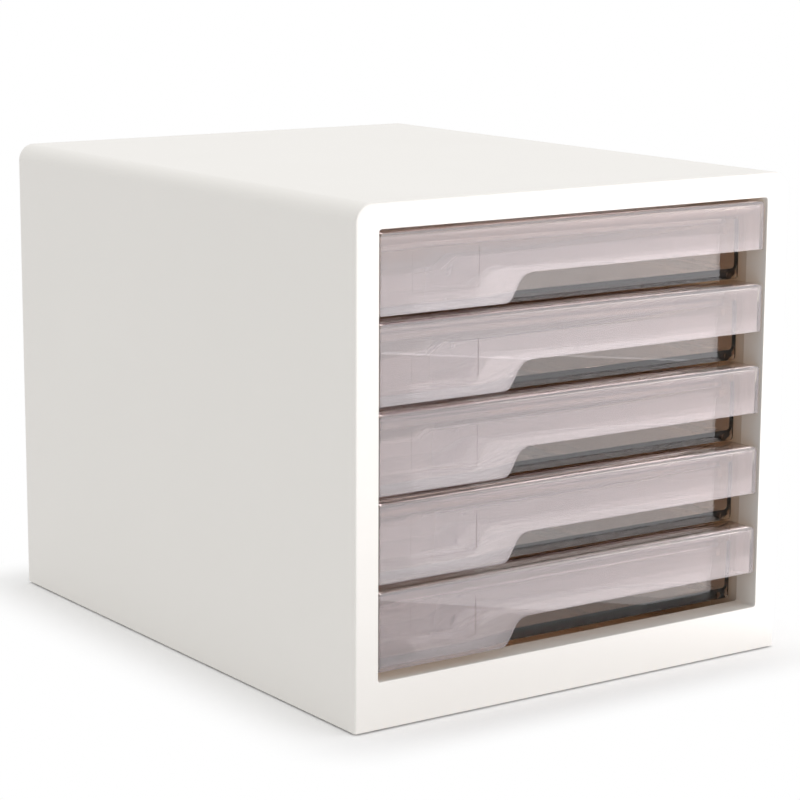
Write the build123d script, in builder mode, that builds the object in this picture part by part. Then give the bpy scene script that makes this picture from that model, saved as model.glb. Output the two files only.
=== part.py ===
from build123d import *
import os

os.makedirs("parts", exist_ok=True)

# Desktop file cabinet: a white moulded housing with five smoky clear drawers for A4 sheets.
# Sizes are in millimetres. X runs across the cabinet, Y from the front to the back, and Z is up.
# The origin is under the middle of the cabinet, on the surface that the feet stand on.

# Housing: top, two sides and the front rim in one moulding
cabinet_width = 271.0
cabinet_depth = 343.0
cabinet_height = 256.0  # without the feet
shell_wall = 2.8
shell_top_radius = 9.2  # along the two long top edges
rim_side = 13.5  # width of the rim's front face at each side
rim_top = 12.9
rim_bottom = 23.5
rim_wall = 3.0  # thickness of the rim's front face
rim_edge_radius = 1.0
return_depth = 15.0  # the rim's inner return, from the front face backwards
return_wall = 2.5
opening_corner_radius = 1.5
opening_edge_radius = 0.5

# Panels that close the housing
panel_fit = 0.3  # gap round a panel that is dropped in
base_wall = 2.5
base_recess = 1.0  # from the housing's bottom edge up to the base panel
base_rear_inset = 0.5
base_rib_count = 3
base_rib_wall = 2.0
base_rib_height = 6.0
rear_wall = 2.5
rear_recess = 2.5  # from the housing's rear edge in to the rear panel
rear_border = 18.0  # the flat border round the rear panel's thinner field
rear_field_depth = 0.8
rear_field_radius = 6.0

# Feet
foot_stand = 1.0  # how far the feet hold the housing off the table
foot_seat_depth = 1.0  # recess for the foot in the base panel
foot_radius = 8.0
foot_edge_radius = 0.6
foot_fit = 0.2
foot_inset = 27.0  # from the housing's outside to the foot's centre

# Countersunk self-tapping screws
screw_shank_radius = 1.45
screw_head_radius = 2.7
screw_length = 10.0
screw_hole_gap = 0.15  # round the shank in a panel, and round the head
pilot_gap = 0.05  # round the shank in a boss
pilot_extra = 1.5  # how much deeper a pilot hole is than its screw
screw_cross_width = 0.7
screw_cross_length = 2.8
screw_cross_depth = 0.9
boss_size = 10.0
boss_height = 14.0
rear_boss_offset = 60.0  # from the middle to each of the two upper rear bosses
rear_screw_low = 45.0  # from the base panel up to the lower rear screws
rear_screw_high = 160.0  # and to the middle ones

# Runner panels and stop posts, one of each at either side
runner_wall = 2.4
runner_setback = 0.2  # how far their faces stand behind the opening's edge
rail_thickness = 2.4
rail_reach = 14.0  # inwards from the panel's face
rail_lead_radius = 6.0
rib_count = 3  # spacer ribs between the runner panel's two columns
rib_wall = 2.2
column_depth = 12.0
post_depth = 20.4
post_flange = 2.2
nub_reach = 2.6
nub_height = 6.0
nub_depth = 6.0

# Drawers
drawer_count = 5
front_gap = 4.0  # between one front and the next
front_floor_gap = 4.55  # under the lowest front
front_roof_gap = 2.1  # over the highest front
front_side_gap = 1.2
front_recess = 1.2  # from the rim's front face back to the drawer's plate
front_depth = 22.8  # from the plate's face to the back edge of its ledge
plate_wall = 2.3
ledge_wall = 2.2
ledge_corner_radius = 2.4  # where the ledge turns down into an end wall
plate_edge_radius = 0.2  # all round the plate's face, its finger cut-out included
cutout_height = 14.3
cutout_start = 76.7  # from the front's left end to the foot of the cut-out's slope
cutout_run = 8.7  # how far the slope runs sideways
cutout_low_radius = 6.0
cutout_high_radius = 9.5
label_left = 18.4  # from the front's left end
label_width = 39.4
label_low = 9.7  # from the front's lower edge
label_height = 19.9
label_depth = 0.25
label_radius = 0.8
lip_drop = 3.5
lip_wall = 1.6
lip_inset = 8.0  # from the tray's outside to each end of the lip
seat_gap = 0.1  # between a front and the tray that it clips on

tray_front = 18.0  # from the rim's front face back to the tray's front wall
tray_rear_gap = 10.5  # between the tray and the rear panel
tray_side_gap = 3.1  # between the tray's side and the opening's edge
tray_wall = 2.0
tray_floor_lift = 0.5  # from the front's lower edge up to the tray's floor
tray_top_drop = 0.8  # from the ledge's underside down to the side walls' top edge
tray_bottom_radius = 4.0
tray_rear_radius = 6.0
skirt_drop = 2.9  # from the front's lower edge down to the tray's lowest edge
skirt_corner_radius = 1.5
skid_inset = 7.0
skid_wall = 2.2
slide_gap = 0.2  # between a skid and its rail
lug_reach = 2.4
lug_length = 6.0
lug_height = 8.0
lug_low = 25.0  # from the front's lower edge
lug_from_rear = 23.5
stop_gap = 0.3  # left between lug and nub when a drawer is fully out

# Places that follow from the sizes
front_y = -cabinet_depth / 2
bottom_z = foot_stand
top_z = bottom_z + cabinet_height
inner_width = cabinet_width - 2 * shell_wall
inner_top_z = top_z - shell_wall
opening_width = cabinet_width - 2 * rim_side
opening_height = cabinet_height - rim_bottom - rim_top
opening_low_z = bottom_z + rim_bottom
base_low_z = bottom_z + base_recess
base_top_z = base_low_z + base_wall
rear_face = cabinet_depth - rear_recess  # depth of the rear panel's outer face
rear_seat = rear_face - rear_wall  # depth of its inner face
drawer_pitch = (opening_height - front_floor_gap - front_roof_gap + front_gap) / drawer_count
front_height = drawer_pitch - front_gap
front_width = opening_width - 2 * front_side_gap
tray_width = opening_width - 2 * tray_side_gap
tray_length = rear_seat - tray_rear_gap - tray_front
runner_face = opening_width / 2 + runner_setback
frame_side = inner_width / 2 - panel_fit  # how far out the posts and runner panels reach
column_x = (runner_face + runner_wall + frame_side) / 2
column_top_z = top_z - shell_top_radius - panel_fit
post_front = return_depth + panel_fit
post_rear = post_front + post_depth
runner_front = post_rear + panel_fit
lug_front = tray_front + tray_length - lug_from_rear - lug_length
drawer_travel = lug_front - post_rear - stop_gap


def across(depth):
    """An upright plane across the cabinet, at a depth behind its front face."""
    return Plane.XZ.offset(-(front_y + depth))


def low_edge(level):
    """Height of the lower edge of a drawer's front. Level 1 is the top drawer."""
    return opening_low_z + front_floor_gap + (drawer_count - level) * drawer_pitch


def block(x, depth, z):
    """A box from three ranges: across, behind the front face, and upwards."""
    middle = (sum(x) / 2, front_y + sum(depth) / 2, sum(z) / 2)
    with Locations(middle):
        Box(abs(x[1] - x[0]), depth[1] - depth[0], z[1] - z[0])


def cut_block(x, depth, z):
    """Cuts a box, given like block's, out of the part."""
    middle = (sum(x) / 2, front_y + sum(depth) / 2, sum(z) / 2)
    with Locations(middle):
        Box(abs(x[1] - x[0]), depth[1] - depth[0], z[1] - z[0], mode=Mode.SUBTRACT)


def save(part, name):
    """Labels a finished piece and writes it."""
    part.label = name
    export_step(part, f"parts/{name}.step")


# Where the screws go. Each base screw stands in a boss or column at its side of the cabinet.
boss_depth = rim_wall + boss_size / 2
post_screw_depth = (post_front + post_rear) / 2
column_depths = [runner_front + column_depth / 2, rear_seat - column_depth / 2]
base_screw_depths = [boss_depth, post_screw_depth] + column_depths
base_screw_places = [(side * column_x, front_y + depth) for side in (-1, 1) for depth in base_screw_depths]
rear_boss_z = inner_top_z - boss_size / 2
rear_column_z = [base_top_z + rear_screw_low, base_top_z + rear_screw_high]
rear_screw_places = [(side * rear_boss_offset, rear_boss_z) for side in (-1, 1)]
rear_screw_places += [(side * column_x, z) for side in (-1, 1) for z in rear_column_z]
pilot_radius = screw_shank_radius + pilot_gap
pilot_depth = screw_length - base_wall + pilot_extra
base_face_places = [Location((x, y, base_low_z), (180, 0, 0)) for x, y in base_screw_places]
rear_face_places = [Location((x, front_y + rear_face, z), (-90, 0, 0)) for x, z in rear_screw_places]


def countersink(places):
    """Screw holes through a panel, sunk for flat heads."""
    with Locations(*places):
        CounterSinkHole(
            radius=screw_shank_radius + screw_hole_gap,
            counter_sink_radius=screw_head_radius + screw_hole_gap,
            depth=base_wall + rear_wall,
            counter_sink_angle=90,
        )


def pilots_from_below(places):
    """Pilot holes that rise from the base panel's upper face."""
    with Locations(*[Location((x, y, base_top_z), (180, 0, 0)) for x, y in places]):
        Hole(radius=pilot_radius, depth=pilot_depth)


def pilots_from_behind(places):
    """Pilot holes that run forwards from the rear panel's inner face."""
    with Locations(*[Location((x, front_y + rear_seat, z), (-90, 0, 0)) for x, z in places]):
        Hole(radius=pilot_radius, depth=pilot_depth)


# Housing
with BuildPart() as housing:
    with BuildSketch(across(0)) as outline:
        with Locations((0, bottom_z + cabinet_height / 2)):
            Rectangle(cabinet_width, cabinet_height)
        fillet(outline.vertices().group_by(Axis.Y)[-1], radius=shell_top_radius)
    extrude(amount=-cabinet_depth)
    with BuildSketch(across(rim_wall)) as hollow:
        with Locations((0, (bottom_z + inner_top_z) / 2)):
            Rectangle(inner_width, inner_top_z - bottom_z)
        fillet(hollow.vertices().group_by(Axis.Y)[-1], radius=shell_top_radius - shell_wall)
    extrude(amount=-(cabinet_depth - rim_wall), mode=Mode.SUBTRACT)
    with BuildSketch(across(rim_wall)):
        with Locations((0, opening_low_z + opening_height / 2)):
            RectangleRounded(
                opening_width + 2 * return_wall,
                opening_height + 2 * return_wall,
                opening_corner_radius + return_wall,
            )
    extrude(amount=-(return_depth - rim_wall))
    with BuildSketch(across(0)):
        with Locations((0, opening_low_z + opening_height / 2)):
            RectangleRounded(opening_width, opening_height, opening_corner_radius)
    extrude(amount=-return_depth, mode=Mode.SUBTRACT)
    rim_face = housing.faces().sort_by(Axis.Y)[0]
    fillet(rim_face.inner_wires()[0].edges(), radius=opening_edge_radius)
    rim_edges = housing.faces().sort_by(Axis.Y)[0].outer_wire().edges().sort_by(Axis.Z)
    fillet(rim_edges[1:], radius=rim_edge_radius)
    for side in (-1, 1):
        block(
            (side * (column_x - boss_size / 2), side * (inner_width / 2 + shell_wall / 2)),
            (rim_wall / 2, rim_wall + boss_size),
            (base_top_z, base_top_z + boss_height),
        )
        block(
            (side * rear_boss_offset - boss_size / 2, side * rear_boss_offset + boss_size / 2),
            (rear_seat - boss_height, rear_seat),
            (inner_top_z - boss_size, inner_top_z + shell_wall / 2),
        )
    pilots_from_below([place for place in base_screw_places if place[1] < front_y + return_depth])
    pilots_from_behind([place for place in rear_screw_places if place[1] == rear_boss_z])
save(housing.part, "cabinet_housing")

# Base panel, with stiffening ribs on its upper face
base_ends = (rim_wall + panel_fit, cabinet_depth - base_rear_inset)
foot_x = cabinet_width / 2 - foot_inset
foot_y = cabinet_depth / 2 - foot_inset
with BuildPart() as base:
    block((-frame_side, frame_side), base_ends, (base_low_z, base_top_z))
    for number in range(base_rib_count):
        middle = (number + 1) * 2 * runner_face / (base_rib_count + 1) - runner_face
        block(
            (middle - base_rib_wall / 2, middle + base_rib_wall / 2),
            (return_depth, rear_seat - boss_size),
            (base_top_z, base_top_z + base_rib_height),
        )
    with BuildSketch(Plane.XY.offset(base_low_z)):
        with GridLocations(2 * foot_x, 2 * foot_y, 2, 2):
            Circle(foot_radius + foot_fit)
    extrude(amount=foot_seat_depth, mode=Mode.SUBTRACT)
    countersink(base_face_places)
save(base.part, "base_panel")

# Rear panel, with a slightly thinner field inside its border
rear_low_z = base_top_z + panel_fit
rear_height = inner_top_z - panel_fit - rear_low_z
with BuildPart() as rear:
    with BuildSketch(across(rear_seat)) as outline:
        with Locations((0, rear_low_z + rear_height / 2)):
            Rectangle(2 * frame_side, rear_height)
        fillet(outline.vertices().group_by(Axis.Y)[-1], radius=shell_top_radius - shell_wall - panel_fit)
    extrude(amount=-rear_wall)
    with BuildSketch(across(rear_face)):
        with Locations((0, rear_low_z + rear_height / 2)):
            RectangleRounded(2 * (frame_side - rear_border), rear_height - 2 * rear_border, rear_field_radius)
    extrude(amount=rear_field_depth, mode=Mode.SUBTRACT)
    countersink(rear_face_places)
save(rear.part, "rear_panel")

# Runner panels: a rail under each tray, and one more rail that guides the top tray from above
for side, name in ((-1, "left"), (1, "right")):
    with BuildPart() as runner:
        block(
            (side * runner_face, side * (runner_face + runner_wall)),
            (runner_front, rear_seat),
            (base_top_z, inner_top_z - panel_fit),
        )
        for level in range(drawer_count + 1):
            rail_top_z = low_edge(level) - skirt_drop - slide_gap
            with BuildSketch(Plane.XY.offset(rail_top_z - rail_thickness)) as rail:
                with Locations((side * (runner_face - rail_reach / 2), front_y + (runner_front + rear_seat) / 2)):
                    Rectangle(rail_reach, rear_seat - runner_front)
                lead = rail.vertices().sort_by_distance((0, front_y, 0))[0]
                fillet(lead, radius=rail_lead_radius)
            extrude(amount=rail_thickness)
        for depths in (
            (runner_front, runner_front + column_depth),
            (rear_seat - column_depth, rear_seat),
        ):
            block((side * (runner_face + runner_wall), side * frame_side), depths, (base_top_z, column_top_z))
        for number in range(rib_count):
            share = (number + 1) / (rib_count + 1)
            middle = runner_front + share * (rear_seat - runner_front)
            block(
                (side * (runner_face + runner_wall), side * frame_side),
                (middle - rib_wall / 2, middle + rib_wall / 2),
                (base_top_z, column_top_z),
            )
        here = [place for place in base_screw_places if place[0] * side > 0]
        pilots_from_below([place for place in here if place[1] > front_y + runner_front])
        pilots_from_behind([(side * column_x, z) for z in rear_column_z])
    save(runner.part, f"runner_panel_{name}")

# Stop posts: upright channels behind the rim's return. Their nubs catch the trays' lugs.
for side, name in ((-1, "left"), (1, "right")):
    with BuildPart() as post:
        block(
            (side * runner_face, side * (runner_face + runner_wall)),
            (post_front, post_rear),
            (base_top_z, inner_top_z - panel_fit),
        )
        for depths in ((post_front, post_front + post_flange), (post_rear - post_flange, post_rear)):
            block((side * (runner_face + runner_wall), side * frame_side), depths, (base_top_z, column_top_z))
        block(
            (side * (runner_face + runner_wall), side * frame_side),
            (post_front, post_rear),
            (base_top_z, base_top_z + boss_height),
        )
        for level in range(1, drawer_count + 1):
            nub_low_z = low_edge(level) + lug_low + (lug_height - nub_height) / 2
            block(
                (side * (runner_face - nub_reach), side * runner_face),
                (post_rear - nub_depth, post_rear),
                (nub_low_z, nub_low_z + nub_height),
            )
        pilots_from_below([(side * column_x, front_y + post_screw_depth)])
    save(post.part, f"stop_post_{name}")

# Feet
for x, width_name in ((-foot_x, "left"), (foot_x, "right")):
    for y, depth_name in ((-foot_y, "front"), (foot_y, "rear")):
        with BuildPart() as foot:
            with BuildSketch(Plane.XY):
                with Locations((x, y)):
                    Circle(foot_radius)
            extrude(amount=base_low_z + foot_seat_depth)
            fillet(foot.edges().group_by(Axis.Z)[0], radius=foot_edge_radius)
        save(foot.part, f"foot_{depth_name}_{width_name}")


def screws(places):
    """Countersunk screws at places whose Z axis points out of the head."""
    head_height = screw_head_radius - screw_shank_radius
    top = (Align.CENTER, Align.CENTER, Align.MAX)
    with Locations(*places):
        Cylinder(radius=screw_shank_radius, height=screw_length, align=top)
        Cone(
            bottom_radius=screw_shank_radius,
            top_radius=screw_head_radius,
            height=head_height,
            align=top,
        )
        Box(screw_cross_length, screw_cross_width, screw_cross_depth, align=top, mode=Mode.SUBTRACT)
        Box(screw_cross_width, screw_cross_length, screw_cross_depth, align=top, mode=Mode.SUBTRACT)


with BuildPart() as base_screws:
    screws(base_face_places)
save(base_screws.part, "base_screws")

with BuildPart() as rear_screws:
    screws(rear_face_places)
save(rear_screws.part, "rear_screws")

# Drawer fronts: a plate with a finger cut-out, a ledge over it, end walls, and a lip that hooks over the tray
plate_back = front_recess + plate_wall
front_back = front_recess + front_depth
tray_inside = tray_front + tray_wall
for level in range(1, drawer_count + 1):
    low_z = low_edge(level)
    high_z = low_z + front_height
    ledge_z = high_z - ledge_wall
    half = front_width / 2
    slope_foot = (-half + cutout_start, low_z)
    slope_head = (-half + cutout_start + cutout_run, low_z + cutout_height)
    with BuildPart() as hood:
        with BuildSketch(across(front_recess)) as outline:
            with BuildLine():
                Polyline(
                    (-half, high_z),
                    (-half, low_z),
                    slope_foot,
                    slope_head,
                    (half, low_z + cutout_height),
                    (half, high_z),
                    close=True,
                )
            make_face()
            fillet(outline.vertices().sort_by_distance((*slope_foot, 0))[0], radius=cutout_low_radius)
            fillet(outline.vertices().sort_by_distance((*slope_head, 0))[0], radius=cutout_high_radius)
        extrude(amount=-front_depth)
        ledge_sides = hood.edges().filter_by(Axis.Y).group_by(Axis.Z)[-1]
        fillet(ledge_sides, radius=ledge_corner_radius)
        fillet(hood.faces().sort_by(Axis.Y)[0].edges(), radius=plate_edge_radius)
        cavity_half = tray_width / 2 + seat_gap
        cut_block((-cavity_half, cavity_half), (plate_back, front_back), (low_z, ledge_z))
        cut_block((-half, half), (tray_inside, front_back), (low_z, ledge_z))
        lip_half = tray_width / 2 - lip_inset
        lip_front = tray_inside + seat_gap
        block((-lip_half, lip_half), (lip_front, lip_front + lip_wall), (ledge_z - lip_drop, ledge_z))
        with BuildSketch(across(front_recess)):
            with Locations((-half + label_left + label_width / 2, low_z + label_low + label_height / 2)):
                RectangleRounded(label_width, label_height, label_radius)
        extrude(amount=-label_depth, mode=Mode.SUBTRACT)
    save(hood.part, f"drawer_{level}_front")

# Drawer trays: rounded underneath, with a deeper front wall, two skids, and a stop lug at each side
for level in range(1, drawer_count + 1):
    low_z = low_edge(level)
    floor_z = low_z + tray_floor_lift
    ledge_z = low_z + front_height - ledge_wall
    rim_z = ledge_z - tray_top_drop
    skirt_z = low_z - skirt_drop
    wall_top_z = ledge_z - seat_gap
    with BuildPart() as tray:
        with BuildSketch(across(tray_front)) as section:
            with Locations((0, (floor_z + rim_z) / 2)):
                Rectangle(tray_width, rim_z - floor_z)
            fillet(section.vertices().group_by(Axis.Y)[0], radius=tray_bottom_radius)
        extrude(amount=-tray_length)
        fillet(tray.edges().filter_by(Axis.Z).group_by(Axis.Y)[-1], radius=tray_rear_radius)
        offset(amount=-tray_wall, openings=tray.faces().sort_by(Axis.Z)[-1])
        with BuildSketch(across(tray_front)) as front_wall:
            with Locations((0, (skirt_z + wall_top_z) / 2)):
                Rectangle(tray_width, wall_top_z - skirt_z)
            fillet(front_wall.vertices().group_by(Axis.Y)[0], radius=skirt_corner_radius)
        extrude(amount=-tray_wall)
        for side in (-1, 1):
            skid_x = tray_width / 2 - skid_inset
            block(
                (side * (skid_x - skid_wall), side * skid_x),
                (tray_inside - tray_wall / 2, tray_front + tray_length - tray_rear_radius),
                (skirt_z, floor_z + tray_wall / 2),
            )
            block(
                (side * (tray_width / 2 - tray_wall / 2), side * (tray_width / 2 + lug_reach)),
                (lug_front, lug_front + lug_length),
                (low_z + lug_low, low_z + lug_low + lug_height),
            )
    save(tray.part, f"drawer_{level}_tray")

print(f"drawer pitch {drawer_pitch:.2f} mm, front height {front_height:.2f} mm")
print(f"drawer travel {drawer_travel:.2f} mm, tray length {tray_length:.2f} mm")
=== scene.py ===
# %% [markdown]
# # A desktop file cabinet with five smoky clear drawers
# The cabinet is a white moulded housing, open at the front, with a stack of drawers for A4 sheets.
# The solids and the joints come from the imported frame. This lesson gives each piece its final surface:
# moulded edges, plastics, screws, feet, and the light of a plain studio.
# Every length is in metres, and 1 mm is written as MM.

import bmesh
import bpy
import math
from mathutils import Matrix, Vector


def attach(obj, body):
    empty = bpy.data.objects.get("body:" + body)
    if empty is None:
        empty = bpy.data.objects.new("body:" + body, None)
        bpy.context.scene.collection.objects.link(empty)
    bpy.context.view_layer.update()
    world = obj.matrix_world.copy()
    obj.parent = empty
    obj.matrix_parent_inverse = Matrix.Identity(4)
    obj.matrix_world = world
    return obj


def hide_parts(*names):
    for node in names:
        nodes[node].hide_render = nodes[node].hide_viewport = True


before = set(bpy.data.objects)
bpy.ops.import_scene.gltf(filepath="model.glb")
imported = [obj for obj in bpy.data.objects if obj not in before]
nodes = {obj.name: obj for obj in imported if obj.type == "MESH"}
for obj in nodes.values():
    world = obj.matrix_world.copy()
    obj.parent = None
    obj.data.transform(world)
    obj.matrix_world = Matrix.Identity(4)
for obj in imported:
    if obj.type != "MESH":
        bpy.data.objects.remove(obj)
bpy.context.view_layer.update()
MM = 0.001

# %% [markdown]
# ## Camera
# The photograph looks down a little on the front's left corner, with the front plane on the right.
# The position and the lens were worked out from the housing's twelve edges in the photograph.
# A long lens, with no shift, keeps the framing of every other view intact.

# %% Camera
camera_data = bpy.data.cameras.new("camera")
camera_data.sensor_width = 36.0
camera_data.lens = 116.52
camera_data.clip_start = 0.05
camera = bpy.data.objects.new("camera", camera_data)
bpy.context.collection.objects.link(camera)
camera_place = (-0.7994, -1.1593, 0.3970)
yaw, pitch, roll = math.radians(34.911), math.radians(11.037), math.radians(0.256)
forward = Vector((math.sin(yaw) * math.cos(pitch), math.cos(yaw) * math.cos(pitch), -math.sin(pitch)))
right = forward.cross(Vector((0, 0, 1))).normalized()
up = right.cross(forward)
right_rolled = math.cos(roll) * right + math.sin(roll) * up
up_rolled = -math.sin(roll) * right + math.cos(roll) * up
turn = Matrix((right_rolled, up_rolled, -forward)).transposed()
camera.matrix_world = Matrix.Translation(camera_place) @ turn.to_4x4()
bpy.context.scene.camera = camera
print("camera at", tuple(round(v, 4) for v in camera.location), "lens", camera_data.lens)

# %% [markdown]
# ## Two small helpers for materials
# Colours are written as sRGB hex values, the way a colour picker shows them. Shaders work in linear
# light, so one function converts them. Another adds a node with its settings and its links.


# %% Material helpers
def linear(hex_colour):
    """An sRGB hex colour as the linear RGBA that shaders use."""
    channels = [int(hex_colour[i : i + 2], 16) / 255 for i in (1, 3, 5)]
    return [c / 12.92 if c <= 0.04045 else ((c + 0.055) / 1.055) ** 2.4 for c in channels] + [1.0]


def add_node(tree, kind, links=None, **settings):
    """Adds a node. Settings name its attributes or its inputs, and links join inputs to sockets."""
    node = tree.nodes.new(kind)
    for name, value in settings.items():
        if hasattr(node, name):
            setattr(node, name, value)
        else:
            node.inputs[name.replace("_", " ")].default_value = value
    for name, socket in (links or {}).items():
        tree.links.new(socket, node.inputs[name])
    return node


def new_material(name):
    """An empty node material and its output node."""
    material = bpy.data.materials.new(name)
    material.use_nodes = True
    material.node_tree.nodes.clear()
    output = material.node_tree.nodes.new("ShaderNodeOutputMaterial")
    return material, material.node_tree, output


print("white ABS in linear light:", [round(v, 3) for v in linear("#F2EFEA")])

# %% [markdown]
# ## Moulded ABS
# The housing is ABS, injection moulded in a tool with a fine spark-eroded texture. That gives a satin
# surface: broad soft highlights and no mirror image. Real texture has grains of about 0.1 mm, too fine
# to show here, so the bump uses 0.6 mm. A slow change of roughness over 80 mm stands for the flow of
# the melt.


# %% Moulded ABS
def moulded_abs(name, colour, roughness, grain_bump):
    """Opaque ABS with a fine moulded grain."""
    material, tree, output = new_material(name)
    place = add_node(tree, "ShaderNodeTexCoord")
    here = {"Vector": place.outputs["Object"]}
    grain = add_node(tree, "ShaderNodeTexNoise", here, Scale=1700.0, Detail=2.0)
    flow = add_node(tree, "ShaderNodeTexNoise", here, Scale=12.0, Detail=3.0)
    shine = add_node(
        tree,
        "ShaderNodeMapRange",
        {"Value": flow.outputs["Fac"]},
        To_Min=roughness - 0.04,
        To_Max=roughness + 0.04,
    )
    height = {"Height": grain.outputs["Fac"]}
    bump = add_node(tree, "ShaderNodeBump", height, Strength=grain_bump, Distance=0.02 * MM)
    tint = add_node(
        tree,
        "ShaderNodeMixRGB",
        {"Fac": flow.outputs["Fac"]},
        Color1=linear(colour),
        Color2=[v * 0.985 for v in linear(colour)[:3]] + [1.0],
    )
    shader = add_node(
        tree,
        "ShaderNodeBsdfPrincipled",
        {
            "Base Color": tint.outputs["Color"],
            "Roughness": shine.outputs["Result"],
            "Normal": bump.outputs["Normal"],
        },
        IOR=1.52,
    )
    tree.links.new(shader.outputs["BSDF"], output.inputs["Surface"])
    return material


# White housing and panels: a barely warm white, since the side in the shade reads as warm
white_abs = moulded_abs("white_abs_moulded", "#F2EFEA", 0.42, 0.5)
# Runner panels: unpolished ABS, seen only through the smoky drawers. Their ivory, darker than the housing's
# white, is painted shade for the dim inside of the cabinet
shade_painted_inner_abs = moulded_abs("inner_abs_moulded", "#D8CFC2", 0.5, 0.4)
# Stop posts: beige-grey as painted shade: the upright strip at the right, behind the rim's return, is the
# inner wall in shade, and the posts' darker colour stands in for it
taupe_abs = moulded_abs("taupe_abs_moulded", "#D8CFC4", 0.48, 0.4)
print("moulded:", white_abs.name, shade_painted_inner_abs.name, taupe_abs.name)

# %% [markdown]
# ## Smoky clear styrene
# The drawers are clear polystyrene tinted grey-brown in the mass, moulded in polished tools. The eye
# gets three things from it: sharp reflections, a brown that deepens with the length of the light's
# path, and edges that look almost black where the path is long. A refracting surface with volume
# absorption gives all three. The plates in front get a milky haze that is painted reflection: it
# stands in for part of the front card's mirror image on them. The ledges and trays behind them stay
# clear.
# Light that only passes through, as for a shadow, gets a plain tint at each surface.


# %% Smoky clear styrene
# Y of the plates' rear faces, where the painted-reflection haze ends
PLATE_BACK = -167.9 * MM


def smoky_styrene(name, depth_colour, depth_density, tint_and_reflection_haze_colour, reflection_haze, passing_tint):
    """Polished clear styrene with a tint in its mass, and on its plates a milky haze that is painted
    reflection.
    """
    material, tree, output = new_material(name)
    shader = add_node(
        tree,
        "ShaderNodeBsdfPrincipled",
        Base_Color=linear(tint_and_reflection_haze_colour),
        Roughness=0.0,
        IOR=1.59,
        Transmission_Weight=1.0,
    )
    # Painted reflection: on the plates' fronts a milky diffuse share stands in for part of the front card's
    # mirror image
    if reflection_haze:
        place = add_node(tree, "ShaderNodeTexCoord")
        part = add_node(tree, "ShaderNodeSeparateXYZ", {"Vector": place.outputs["Object"]})
        clearness = add_node(
            tree,
            "ShaderNodeMapRange",
            {"Value": part.outputs["Y"]},
            From_Min=PLATE_BACK,
            From_Max=PLATE_BACK + 0.1 * MM,
            To_Min=1.0 - reflection_haze,
            To_Max=1.0,
        )
        tree.links.new(clearness.outputs["Result"], shader.inputs["Transmission Weight"])
    path = add_node(tree, "ShaderNodeLightPath")
    passing = add_node(
        tree,
        "ShaderNodeMath",
        {0: path.outputs["Is Shadow Ray"], 1: path.outputs["Is Diffuse Ray"]},
        operation="MAXIMUM",
    )
    clear = add_node(tree, "ShaderNodeBsdfTransparent", Color=linear(passing_tint))
    mix = add_node(
        tree,
        "ShaderNodeMixShader",
        {0: passing.outputs["Value"], 1: shader.outputs["BSDF"], 2: clear.outputs["BSDF"]},
    )
    tree.links.new(mix.outputs["Shader"], output.inputs["Surface"])
    depth = add_node(tree, "ShaderNodeVolumeAbsorption", Color=linear(depth_colour), Density=depth_density)
    tree.links.new(depth.outputs["Volume"], output.inputs["Volume"])
    return material


# The fronts let more light through and look lilac-grey from the milky haze on their plates, a painted
# reflection of the front card
smoky_front = smoky_styrene("smoky_front_styrene", "#D2C8AC", 90.0, "#F2EBF1", 0.14, "#F8F0EA")
# The trays are clear and browner, and their long walls and floors go dark at the edges
smoky_tray = smoky_styrene("smoky_tray_styrene", "#D6C6A6", 120.0, "#FAF6F6", 0.0, "#FAF2E8")
print("clear:", smoky_front.name, smoky_tray.name)

# %% [markdown]
# ## Rubber and zinc-plated steel
# The feet are black-grey moulded rubber, dull and slightly dusty. The screws are steel with bright
# zinc plating, which is a metal with a fine, uneven shine.

# %% Rubber and steel
foot_rubber = moulded_abs("foot_rubber_moulded", "#3A3A3A", 0.75, 1.0)
zinc_steel, tree, output = new_material("zinc_plated_steel")
place = add_node(tree, "ShaderNodeTexCoord")
spangle = add_node(tree, "ShaderNodeTexNoise", {"Vector": place.outputs["Object"]}, Scale=900.0, Detail=2.0)
shine = add_node(tree, "ShaderNodeMapRange", {"Value": spangle.outputs["Fac"]}, To_Min=0.22, To_Max=0.42)
shader = add_node(
    tree,
    "ShaderNodeBsdfPrincipled",
    {"Roughness": shine.outputs["Result"]},
    Base_Color=linear("#C6C8CC"),
    Metallic=1.0,
)
tree.links.new(shader.outputs["BSDF"], output.inputs["Surface"])
print("dull and bright:", foot_rubber.name, zinc_steel.name)

# %% [markdown]
# ## Moulded copies of the solids
# The frame's solids have perfectly sharp edges and come as loose triangles. A moulding has a small
# radius on every edge, and that radius is what catches the light as a thin bright line. Each copy is
# merged, its flat faces are joined again, and on the panels and posts a Bevel modifier rounds what is
# left sharp. The housing and the drawers bring their radii with them. Normals weighted by area keep
# the flat faces flat, which matters for what the clear plates mirror.


# %% Moulded copies
def moulded_copy(node, material, body, edge_radius):
    """Stands for a CAD node with a copy that has small moulded edges."""
    mesh = nodes[node].data.copy()
    mesh.name = node + "_moulded"
    work = bmesh.new()
    work.from_mesh(mesh)
    bmesh.ops.remove_doubles(work, verts=work.verts, dist=0.002 * MM)
    bmesh.ops.dissolve_limit(
        work, angle_limit=math.radians(0.5), verts=work.verts, edges=work.edges, delimit=set()
    )
    work.to_mesh(mesh)
    work.free()
    mesh.materials.clear()
    mesh.materials.append(material)
    piece = bpy.data.objects.new(node + "_moulded", mesh)
    bpy.context.collection.objects.link(piece)
    if edge_radius:
        bevel = piece.modifiers.new("moulded_edges", "BEVEL")
        bevel.width = edge_radius
        bevel.segments = 2
        bevel.limit_method = "ANGLE"
        bevel.angle_limit = math.radians(50)
    mesh.shade_smooth()
    mesh.set_sharp_from_angle(angle=math.radians(40))
    flat = piece.modifiers.new("flat_faces_stay_flat", "WEIGHTED_NORMAL")
    flat.mode = "FACE_AREA"
    flat.weight = 100
    flat.keep_sharp = True
    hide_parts(node)
    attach(piece, body)
    return piece


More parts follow.
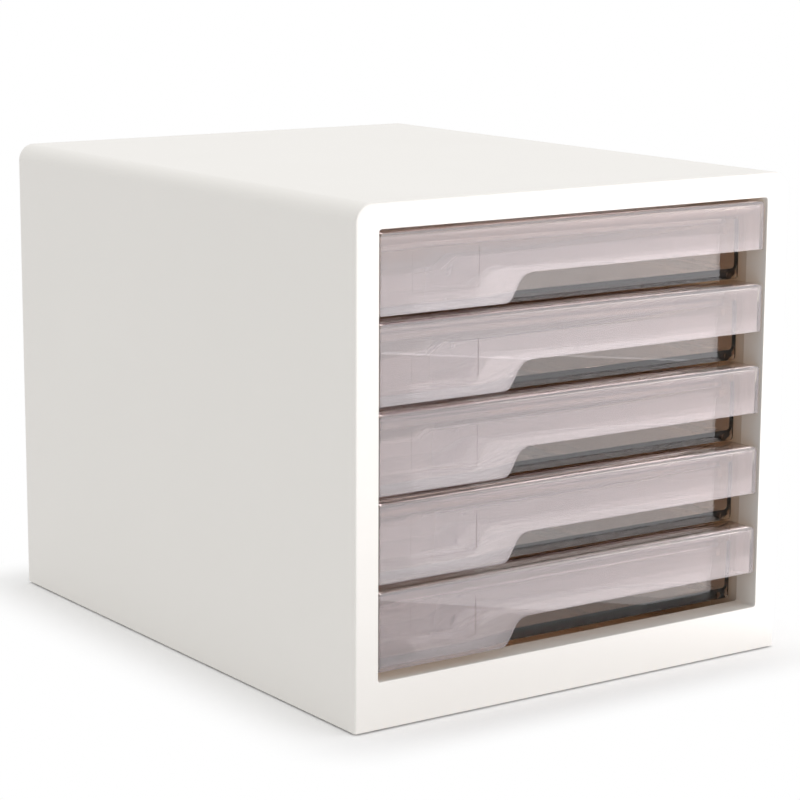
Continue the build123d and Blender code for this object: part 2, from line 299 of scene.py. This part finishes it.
for node, material, slot, edge_radius in (
    ("cabinet_housing", white_abs, "white_abs", 0),
    ("base_panel", white_abs, "white_abs", 0.25 * MM),
    ("rear_panel", white_abs, "white_abs", 0.25 * MM),
    ("stop_post_left", taupe_abs, "taupe_abs", 0.3 * MM),
    ("stop_post_right", taupe_abs, "taupe_abs", 0.3 * MM),
):
    piece = moulded_copy(node, material, "cabinet", edge_radius)
    print(piece.name, len(piece.data.polygons), "faces")
for level in range(1, 6):
    moulded_copy(f"drawer_{level}_front", smoky_front, f"drawer_{level}", 0)
    piece = moulded_copy(f"drawer_{level}_tray", smoky_tray, f"drawer_{level}", 0)
    print(piece.name, len(piece.data.polygons), "faces")

# %% [markdown]
# ## Rules for what repeats
# Screws, grip rings and rails repeat, so each is a Geometry Nodes tree with its sizes as inputs. The
# tree is applied once and kept as a plain mesh. Sizes given to a tree are in metres, as everywhere.


# %% Helpers for the rules
def new_rule(name, sizes):
    """A Geometry Nodes tree with a geometry input, a material input and one named input for each size."""
    rule = bpy.data.node_groups.new(name, "GeometryNodeTree")
    rule.interface.new_socket("Geometry", in_out="INPUT", socket_type="NodeSocketGeometry")
    rule.interface.new_socket("Geometry", in_out="OUTPUT", socket_type="NodeSocketGeometry")
    for size, value in sizes.items():
        kind = "NodeSocketInt" if isinstance(value, int) else "NodeSocketFloat"
        rule.interface.new_socket(size, in_out="INPUT", socket_type=kind).default_value = value
    rule.interface.new_socket("Material", in_out="INPUT", socket_type="NodeSocketMaterial")
    return rule, rule.nodes.new("NodeGroupInput").outputs, rule.nodes.new("NodeGroupOutput")


def sum_up(tree, operation, first, second=0.0):
    """One sum. Either side is a number or a socket."""
    node = add_node(tree, "ShaderNodeMath", operation=operation)
    for index, side in enumerate((first, second)):
        if isinstance(side, (int, float)):
            node.inputs[index].default_value = side
        else:
            tree.links.new(side, node.inputs[index])
    return node.outputs[0]


def triple(tree, x, y, z):
    """A vector whose parts are numbers or sockets."""
    node = tree.nodes.new("ShaderNodeCombineXYZ")
    for index, side in enumerate((x, y, z)):
        if isinstance(side, (int, float)):
            node.inputs[index].default_value = side
        else:
            tree.links.new(side, node.inputs[index])
    return node.outputs[0]


def moved(tree, mesh, x, y, z):
    """Moves a mesh."""
    links = {"Geometry": mesh, "Translation": triple(tree, x, y, z)}
    return add_node(tree, "GeometryNodeTransform", links).outputs[0]


def minus(tree, value):
    """A value with its sign changed."""
    return sum_up(tree, "MULTIPLY", value, -1)


def join(tree, parts):
    """Joins any number of meshes."""
    node = tree.nodes.new("GeometryNodeJoinGeometry")
    for part in parts:
        tree.links.new(part, node.inputs[0])
    return node.outputs[0]


def close_rule(tree, output, mesh, material):
    """Ends a tree: real geometry instead of instances, and its material."""
    real = add_node(tree, "GeometryNodeRealizeInstances", {"Geometry": mesh})
    dressed = add_node(tree, "GeometryNodeSetMaterial", {"Geometry": real.outputs[0], "Material": material})
    tree.links.new(dressed.outputs[0], output.inputs[0])


def grow(name, rule, places, values, material, stands_for):
    """Applies a rule to a set of places and keeps the result as a plain mesh that rides on the cabinet."""
    seed = bpy.data.meshes.new(name + "_places")
    seed.from_pydata(places, [], [])
    holder = bpy.data.objects.new(name + "_places", seed)
    bpy.context.collection.objects.link(holder)
    modifier = holder.modifiers.new("rule", "NODES")
    modifier.node_group = rule
    for item in rule.interface.items_tree:
        if item.in_out == "INPUT" and item.name in values:
            modifier[item.identifier] = values[item.name]
        if item.in_out == "INPUT" and item.name == "Material":
            modifier[item.identifier] = material
    evaluated = holder.evaluated_get(bpy.context.evaluated_depsgraph_get())
    mesh = bpy.data.meshes.new_from_object(evaluated)
    mesh.name = name
    holder.modifiers.remove(modifier)
    bpy.data.objects.remove(holder)
    work = bmesh.new()
    work.from_mesh(mesh)
    bmesh.ops.remove_doubles(work, verts=work.verts, dist=0.001 * MM)
    bmesh.ops.recalc_face_normals(work, faces=work.faces)
    work.to_mesh(mesh)
    work.free()
    mesh.materials.clear()
    mesh.materials.append(material)
    mesh.shade_smooth()
    mesh.set_sharp_from_angle(angle=math.radians(35))
    piece = bpy.data.objects.new(name, mesh)
    bpy.context.collection.objects.link(piece)
    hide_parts(stands_for)
    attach(piece, "cabinet")
    print(name, len(mesh.polygons), "faces")


# %% [markdown]
# ## Screws
# Fourteen equal self-tapping screws hold the base and the rear panel. Each has a flat countersunk
# head with a cross recess, a core, a thread wound round it as a helix, and a pointed tip. One rule
# makes the screw and sets it at every place; the head points along +Z until it is turned.

# %% Screws
screw_rule, size, output = new_rule(
    "countersunk_screws",
    {
        "Head radius": 2.7 * MM,
        "Shank radius": 1.45 * MM,
        "Core radius": 1.1 * MM,
        "Length": 10.0 * MM,
        "Tip": 2.0 * MM,
        "Thread pitch": 1.3 * MM,
        "Cross length": 2.8 * MM,
        "Cross width": 0.7 * MM,
        "Cross depth": 0.9 * MM,
        "Turn about X": 0.0,
    },
)
tree = screw_rule
head_height = sum_up(tree, "SUBTRACT", size["Head radius"], size["Shank radius"])
cone = add_node(
    tree,
    "GeometryNodeMeshCone",
    {"Radius Top": size["Head radius"], "Radius Bottom": size["Shank radius"], "Depth": head_height},
    Vertices=40,
)
head = moved(tree, cone.outputs["Mesh"], 0, 0, minus(tree, head_height))
deep = sum_up(tree, "MULTIPLY", size["Cross depth"], 2)
arm_size = triple(tree, size["Cross length"], size["Cross width"], deep)
bar_size = triple(tree, size["Cross width"], size["Cross length"], deep)
arm = add_node(tree, "GeometryNodeMeshCube", {"Size": arm_size})
bar = add_node(tree, "GeometryNodeMeshCube", {"Size": bar_size})
recess = add_node(tree, "GeometryNodeMeshBoolean", {"Mesh 1": head}, operation="DIFFERENCE", solver="EXACT")
tree.links.new(arm.outputs["Mesh"], recess.inputs["Mesh 2"])
tree.links.new(bar.outputs["Mesh"], recess.inputs["Mesh 2"])
straight = sum_up(tree, "SUBTRACT", size["Length"], size["Tip"])
core = add_node(
    tree,
    "GeometryNodeMeshCone",
    {
        "Radius Top": size["Core radius"],
        "Radius Bottom": size["Core radius"],
        "Depth": sum_up(tree, "SUBTRACT", straight, head_height),
    },
    Vertices=24,
)
core_low = moved(tree, core.outputs["Mesh"], 0, 0, minus(tree, straight))
# The tip starts a little narrower than the core, so that their rings don't merge
tip_radius = sum_up(tree, "SUBTRACT", size["Core radius"], 0.02 * MM)
tip = add_node(
    tree,
    "GeometryNodeMeshCone",
    {"Radius Top": tip_radius, "Depth": size["Tip"]},
    Vertices=24,
    Radius_Bottom=0.1 * MM,
)
tip_low = moved(tree, tip.outputs["Mesh"], 0, 0, minus(tree, size["Length"]))
# The thread runs from the tip up to a bare neck, 0.6 head heights long
head_and_neck = sum_up(tree, "MULTIPLY", head_height, 1.6)
wound = sum_up(tree, "SUBTRACT", straight, head_and_neck)
helix = add_node(
    tree,
    "GeometryNodeCurveSpiral",
    {
        "Rotations": sum_up(tree, "DIVIDE", wound, size["Thread pitch"]),
        "Start Radius": size["Core radius"],
        "End Radius": size["Core radius"],
        "Height": wound,
    },
    Resolution=20,
)
ridge = add_node(
    tree,
    "GeometryNodeCurvePrimitiveCircle",
    {"Radius": sum_up(tree, "SUBTRACT", size["Shank radius"], size["Core radius"])},
    Resolution=4,
)
thread = add_node(
    tree,
    "GeometryNodeCurveToMesh",
    {"Curve": helix.outputs[0], "Profile Curve": ridge.outputs[0]},
    Fill_Caps=True,
)
thread_low = moved(tree, thread.outputs[0], 0, 0, minus(tree, straight))
screw = join(tree, [recess.outputs["Mesh"], core_low, tip_low, thread_low])
turned = add_node(tree, "FunctionNodeEulerToRotation", {"Euler": triple(tree, size["Turn about X"], 0, 0)})
placed = add_node(
    tree,
    "GeometryNodeInstanceOnPoints",
    {"Points": size["Geometry"], "Instance": screw, "Rotation": turned.outputs[0]},
)
close_rule(tree, output, placed.outputs[0], size["Material"])
side_x, top_x, top_z = 128.5 * MM, 60.0 * MM, 249.2 * MM
base_underside, rear_outside = 2.0 * MM, 169.0 * MM
base_rows, rear_rows = (-163.5, -146.0, -129.5, 160.5), (49.5, 164.5)
base_places = [(x, y * MM, base_underside) for x in (-side_x, side_x) for y in base_rows]
rear_places = [(x, rear_outside, z * MM) for x in (-side_x, side_x) for z in rear_rows]
rear_places += [(x, rear_outside, top_z) for x in (-top_x, top_x)]
for group, places, turn_about_x in (("base", base_places, math.pi), ("rear", rear_places, -math.pi / 2)):
    grow(
        f"{group}_screws_threaded",
        screw_rule,
        places,
        {"Turn about X": turn_about_x},
        zinc_steel,
        f"{group}_screws",
    )

# %% [markdown]
# ## Feet
# Each foot is a rubber disc. The rule starts with a disc of many rings and lifts the rings of its
# underside: as grooves that repeat with the distance from the middle, and as a quarter round at the rim.

# %% Feet
foot_rule, size, output = new_rule(
    "grip_foot",
    {
        "Radius": 8.0 * MM,
        "Height": 3.0 * MM,
        "Edge radius": 0.6 * MM,
        "Ring pitch": 1.6 * MM,
        "Ring depth": 0.35 * MM,
    },
)
tree = foot_rule
disc = add_node(
    tree,
    "GeometryNodeMeshCylinder",
    {"Radius": size["Radius"], "Depth": size["Height"]},
    Vertices=64,
    Fill_Segments=40,
)
stood = moved(tree, disc.outputs["Mesh"], 0, 0, sum_up(tree, "MULTIPLY", size["Height"], 0.5))
place = tree.nodes.new("GeometryNodeInputPosition")
part = add_node(tree, "ShaderNodeSeparateXYZ", {"Vector": place.outputs[0]})
outwards = triple(tree, part.outputs["X"], part.outputs["Y"], 0)
from_middle = add_node(tree, "ShaderNodeVectorMath", {0: outwards}, operation="LENGTH").outputs["Value"]
edge_start = sum_up(tree, "SUBTRACT", size["Radius"], size["Edge radius"])
# Grooves: half a cosine wave deep, in whole rings, up to where the edge begins
wave = sum_up(tree, "MULTIPLY", sum_up(tree, "DIVIDE", from_middle, size["Ring pitch"]), 2 * math.pi)
dip = sum_up(tree, "SUBTRACT", 1.0, sum_up(tree, "COSINE", wave))
groove = sum_up(tree, "MULTIPLY", sum_up(tree, "MULTIPLY", size["Ring depth"], 0.5), dip)
whole_rings = sum_up(tree, "FLOOR", sum_up(tree, "DIVIDE", edge_start, size["Ring pitch"]))
ring_end = sum_up(tree, "MULTIPLY", whole_rings, size["Ring pitch"])
grooved = sum_up(tree, "MULTIPLY", groove, sum_up(tree, "LESS_THAN", from_middle, ring_end))
# Edge: a quarter round, as the height that a circle leaves under it
past_edge = sum_up(tree, "MAXIMUM", sum_up(tree, "SUBTRACT", from_middle, edge_start), 0.0)
edge_squared = sum_up(tree, "MULTIPLY", size["Edge radius"], size["Edge radius"])
left_over = sum_up(tree, "SUBTRACT", edge_squared, sum_up(tree, "MULTIPLY", past_edge, past_edge))
kept = sum_up(tree, "SQRT", sum_up(tree, "MAXIMUM", left_over, 0.0))
rounded = sum_up(tree, "SUBTRACT", size["Edge radius"], kept)
lift = sum_up(tree, "ADD", grooved, rounded)
underside = sum_up(tree, "LESS_THAN", part.outputs["Z"], 0.01 * MM)
lift_below = triple(tree, 0, 0, sum_up(tree, "MULTIPLY", lift, underside))
shaped = add_node(tree, "GeometryNodeSetPosition", {"Geometry": stood, "Offset": lift_below})
placed = add_node(
    tree, "GeometryNodeInstanceOnPoints", {"Points": size["Geometry"], "Instance": shaped.outputs[0]}
)
close_rule(tree, output, placed.outputs[0], size["Material"])
foot_x, foot_y = 108.5 * MM, 144.5 * MM
for width_name, x in (("left", -foot_x), ("right", foot_x)):
    for depth_name, y in (("front", -foot_y), ("rear", foot_y)):
        foot = f"foot_{depth_name}_{width_name}"
        grow(foot + "_ringed", foot_rule, [(x, y, 0.0)], {}, foot_rubber, foot)

# %% [markdown]
# ## Runner panels
# A runner panel is a plate with a rail for every drawer, one more rail over the top drawer, and
# columns and ribs that space it from the housing's side. The rails are one outline, with a rounded
# lead-in corner, repeated upwards at the drawers' pitch.

# %% Runner panels
runner_rule, size, output = new_rule(
    "runner_panel",
    {
        "Side": 1.0,
        "Face": 122.2 * MM,
        "Wall": 2.4 * MM,
        "Outer reach": 132.4 * MM,
        "Front": -135.5 * MM,
        "Rear": 166.5 * MM,
        "Low": 4.5 * MM,
        "High": 253.9 * MM,
        "Column top": 247.5 * MM,
        "Column depth": 12.0 * MM,
        "Rib count": 3,
        "Rib wall": 2.2 * MM,
        "Rail count": 6,
        "Rail pitch": 43.39 * MM,
        "Lowest rail": 23.55 * MM,
        "Rail thickness": 2.4 * MM,
        "Rail reach": 14.0 * MM,
        "Lead radius": 6.0 * MM,
    },
)
tree = runner_rule


def spanning_block(tree, x_ends, y_ends, z_ends, side):
    """A block between pairs of ends. X is measured outwards, towards the given side."""
    spans = [sum_up(tree, "SUBTRACT", ends[1], ends[0]) for ends in (x_ends, y_ends, z_ends)]
    doubled = [sum_up(tree, "ADD", ends[0], ends[1]) for ends in (x_ends, y_ends, z_ends)]
    x, y, z = [sum_up(tree, "MULTIPLY", value, 0.5) for value in doubled]
    cube = add_node(tree, "GeometryNodeMeshCube", {"Size": triple(tree, *spans)})
    return moved(tree, cube.outputs["Mesh"], sum_up(tree, "MULTIPLY", x, side), y, z)


side = size["Side"]
plate_outside = sum_up(tree, "ADD", size["Face"], size["Wall"])
plate_x, plate_y = (size["Face"], plate_outside), (size["Front"], size["Rear"])
plate = spanning_block(tree, plate_x, plate_y, (size["Low"], size["High"]), side)
spacer_x = (plate_outside, size["Outer reach"])
spacer_z = (size["Low"], size["Column top"])
first_column = (size["Front"], sum_up(tree, "ADD", size["Front"], size["Column depth"]))
last_column = (sum_up(tree, "SUBTRACT", size["Rear"], size["Column depth"]), size["Rear"])
columns = [spanning_block(tree, spacer_x, ends, spacer_z, side) for ends in (first_column, last_column)]
length = sum_up(tree, "SUBTRACT", size["Rear"], size["Front"])
rib_step = sum_up(tree, "DIVIDE", length, sum_up(tree, "ADD", size["Rib count"], 1))
half_rib = sum_up(tree, "MULTIPLY", size["Rib wall"], 0.5)
one_rib = spanning_block(tree, spacer_x, (minus(tree, half_rib), half_rib), spacer_z, side)
rib_line = add_node(
    tree,
    "GeometryNodeMeshLine",
    {
        "Count": size["Rib count"],
        "Start Location": triple(tree, 0, sum_up(tree, "ADD", size["Front"], rib_step), 0),
        "Offset": triple(tree, 0, rib_step, 0),
    },
)
ribs = add_node(tree, "GeometryNodeInstanceOnPoints", {"Points": rib_line.outputs[0], "Instance": one_rib})

outline = add_node(
    tree, "GeometryNodeCurvePrimitiveQuadrilateral", {"Width": size["Rail reach"], "Height": length}
)
corner = tree.nodes.new("GeometryNodeInputPosition")
corner_part = add_node(tree, "ShaderNodeSeparateXYZ", {"Vector": corner.outputs[0]})
inner_end = sum_up(tree, "LESS_THAN", sum_up(tree, "MULTIPLY", corner_part.outputs["X"], side), 0.0)
front_end = sum_up(tree, "LESS_THAN", corner_part.outputs["Y"], 0.0)
lead = sum_up(tree, "MULTIPLY", sum_up(tree, "MULTIPLY", inner_end, front_end), size["Lead radius"])
eased = add_node(
    tree,
    "GeometryNodeFilletCurve",
    {"Curve": outline.outputs[0], "Radius": lead},
    mode="POLY",
    Count=8,
    Limit_Radius=True,
)
sheet = add_node(tree, "GeometryNodeFillCurve", {"Curve": eased.outputs[0]}, mode="NGONS")
lifted = add_node(
    tree,
    "GeometryNodeExtrudeMesh",
    {"Mesh": sheet.outputs[0], "Offset": triple(tree, 0, 0, 1), "Offset Scale": size["Rail thickness"]},
    mode="FACES",
    Individual=False,
)
under = add_node(tree, "GeometryNodeFlipFaces", {"Mesh": sheet.outputs[0]})
rail = join(tree, [lifted.outputs["Mesh"], under.outputs[0]])
rail_x = sum_up(tree, "SUBTRACT", size["Face"], sum_up(tree, "MULTIPLY", size["Rail reach"], 0.5))
rail_line = add_node(
    tree,
    "GeometryNodeMeshLine",
    {
        "Count": size["Rail count"],
        "Start Location": triple(
            tree,
            sum_up(tree, "MULTIPLY", rail_x, side),
            sum_up(tree, "MULTIPLY", sum_up(tree, "ADD", size["Front"], size["Rear"]), 0.5),
            size["Lowest rail"],
        ),
        "Offset": triple(tree, 0, 0, size["Rail pitch"]),
    },
)
rails = add_node(tree, "GeometryNodeInstanceOnPoints", {"Points": rail_line.outputs[0], "Instance": rail})
panel = join(tree, [plate, *columns, ribs.outputs[0], rails.outputs[0]])
placed = add_node(tree, "GeometryNodeInstanceOnPoints", {"Points": size["Geometry"], "Instance": panel})
close_rule(tree, output, placed.outputs[0], size["Material"])
for name, side_sign in (("left", -1.0), ("right", 1.0)):
    grow(
        f"runner_panel_{name}_railed",
        runner_rule,
        [(0.0, 0.0, 0.0)],
        {"Side": side_sign},
        shade_painted_inner_abs,
        f"runner_panel_{name}",
    )

# %% [markdown]
# ## Studio
# The cabinet stands on a white sweep. The world and the floor read as plain white to the camera, and
# to rays that mirror or pass through the clear plastic. The floor keeps the cabinet's soft shadow
# close to the base. Two soft cards at the front right, one standing and one lying, are what the
# drawers' plates mirror, and they make the front the brightest side. A third hangs over the top.

# %% Studio
scene = bpy.context.scene
scene.view_settings.view_transform = "Standard"
scene.cycles.max_bounces = 24
scene.cycles.transmission_bounces = 24
scene.cycles.transparent_max_bounces = 32


def seen_directly(tree):
    """1 for rays from the camera, from a mirroring surface or through a clear one, and else 0."""
    path = add_node(tree, "ShaderNodeLightPath")
    mirrored = add_node(
        tree,
        "ShaderNodeMath",
        {0: path.outputs["Is Camera Ray"], 1: path.outputs["Is Glossy Ray"]},
        operation="MAXIMUM",
    )
    either = add_node(
        tree,
        "ShaderNodeMath",
        {0: mirrored.outputs["Value"], 1: path.outputs["Is Transmission Ray"]},
        operation="MAXIMUM",
    )
    return either.outputs["Value"]


world = bpy.data.worlds.new("studio")
scene.world = world
world.use_nodes = True
tree = world.node_tree
tree.nodes.clear()
output = tree.nodes.new("ShaderNodeOutputWorld")
level = add_node(tree, "ShaderNodeMapRange", {"Value": seen_directly(tree)}, To_Min=0.66, To_Max=1.0)
sky = add_node(tree, "ShaderNodeBackground", {"Strength": level.outputs["Result"]}, Color=(1, 1, 1, 1))
tree.links.new(sky.outputs["Background"], output.inputs["Surface"])

floor_mesh = bpy.data.meshes.new("floor")
half_floor = 4.0
floor_corners = [(x * half_floor, y * half_floor, 0) for x, y in ((-1, -1), (1, -1), (1, 1), (-1, 1))]
floor_mesh.from_pydata(floor_corners, [], [(0, 1, 2, 3)])
floor = bpy.data.objects.new("floor", floor_mesh)
bpy.context.collection.objects.link(floor)
floor_white, tree, output = new_material("floor_white")
matt = add_node(tree, "ShaderNodeBsdfDiffuse", Color=linear("#FFFFFF"))
place = add_node(tree, "ShaderNodeTexCoord")
# The floor is matt white under the cabinet and blends to plain white this far outside its footprint
half_footprint = (135.5 * MM, 171.5 * MM, 0.0)
blend_length = 50 * MM
from_middle = add_node(tree, "ShaderNodeVectorMath", {0: place.outputs["Object"]}, operation="ABSOLUTE")
beyond = add_node(tree, "ShaderNodeVectorMath", {0: from_middle.outputs["Vector"]}, operation="SUBTRACT")
beyond.inputs[1].default_value = half_footprint
outside = add_node(tree, "ShaderNodeVectorMath", {0: beyond.outputs["Vector"]}, operation="MAXIMUM")
reach = add_node(tree, "ShaderNodeVectorMath", {0: outside.outputs["Vector"]}, operation="LENGTH")
far = add_node(
    tree,
    "ShaderNodeMapRange",
    {"Value": reach.outputs["Value"]},
    interpolation_type="SMOOTHSTEP",
    From_Min=0.0,
    From_Max=blend_length,
)
blend = add_node(
    tree, "ShaderNodeMath", {0: far.outputs["Result"], 1: seen_directly(tree)}, operation="MULTIPLY"
)
white = add_node(tree, "ShaderNodeEmission", Color=(1, 1, 1, 1), Strength=1.0)
mix = add_node(
    tree,
    "ShaderNodeMixShader",
    {0: blend.outputs["Value"], 1: matt.outputs["BSDF"], 2: white.outputs["Emission"]},
)
tree.links.new(mix.outputs["Shader"], output.inputs["Surface"])
floor_mesh.materials.append(floor_white)


def soft_card(name, centre, across_card, up_card, width, height, colour, radiance):
    """A rectangular soft lamp, placed by the directions of its width and height.

    It shines against the third direction. Its watts follow from its radiance and its area.
    """
    lamp = bpy.data.lights.new(name, "AREA")
    lamp.shape = "RECTANGLE"
    lamp.size = width
    lamp.size_y = height
    lamp.color = colour
    lamp.energy = radiance * math.pi * width * height
    card = bpy.data.objects.new(name, lamp)
    x_axis = Vector(across_card).normalized()
    y_axis = Vector(up_card).normalized()
    turn = Matrix((x_axis, y_axis, x_axis.cross(y_axis))).transposed()
    card.matrix_world = Matrix.Translation(centre) @ turn.to_4x4()
    card.visible_camera = False
    bpy.context.collection.objects.link(card)
    print(name, "gives", round(lamp.energy, 2), "watts")


# The card on the floor and the one standing behind it share one heading, out to the front right
mauve_card = (1.0, 0.97, 1.0)
white_card = (1.0, 1.0, 1.0)
along_cards, away_from_cards = (0.691, 0.723, 0.0), (0.723, -0.691, 0.0)
for name, centre, across_card, up_card, width, height, colour, radiance in (
    ("low_card", (0.319, -0.612, 0.002), along_cards, away_from_cards, 0.6, 0.8, mauve_card, 1.6),
    ("front_card", (0.61, -0.89, 0.25), along_cards, (0.0, 0.0, 1.0), 0.9, 0.5, mauve_card, 2.4),
    ("top_card", (0.0, 0.0, 1.7), (1.0, 0.0, 0.0), (0.0, 1.0, 0.0), 1.6, 1.6, white_card, 1.0),
):
    soft_card(name, centre, across_card, up_card, width, height, colour, radiance)
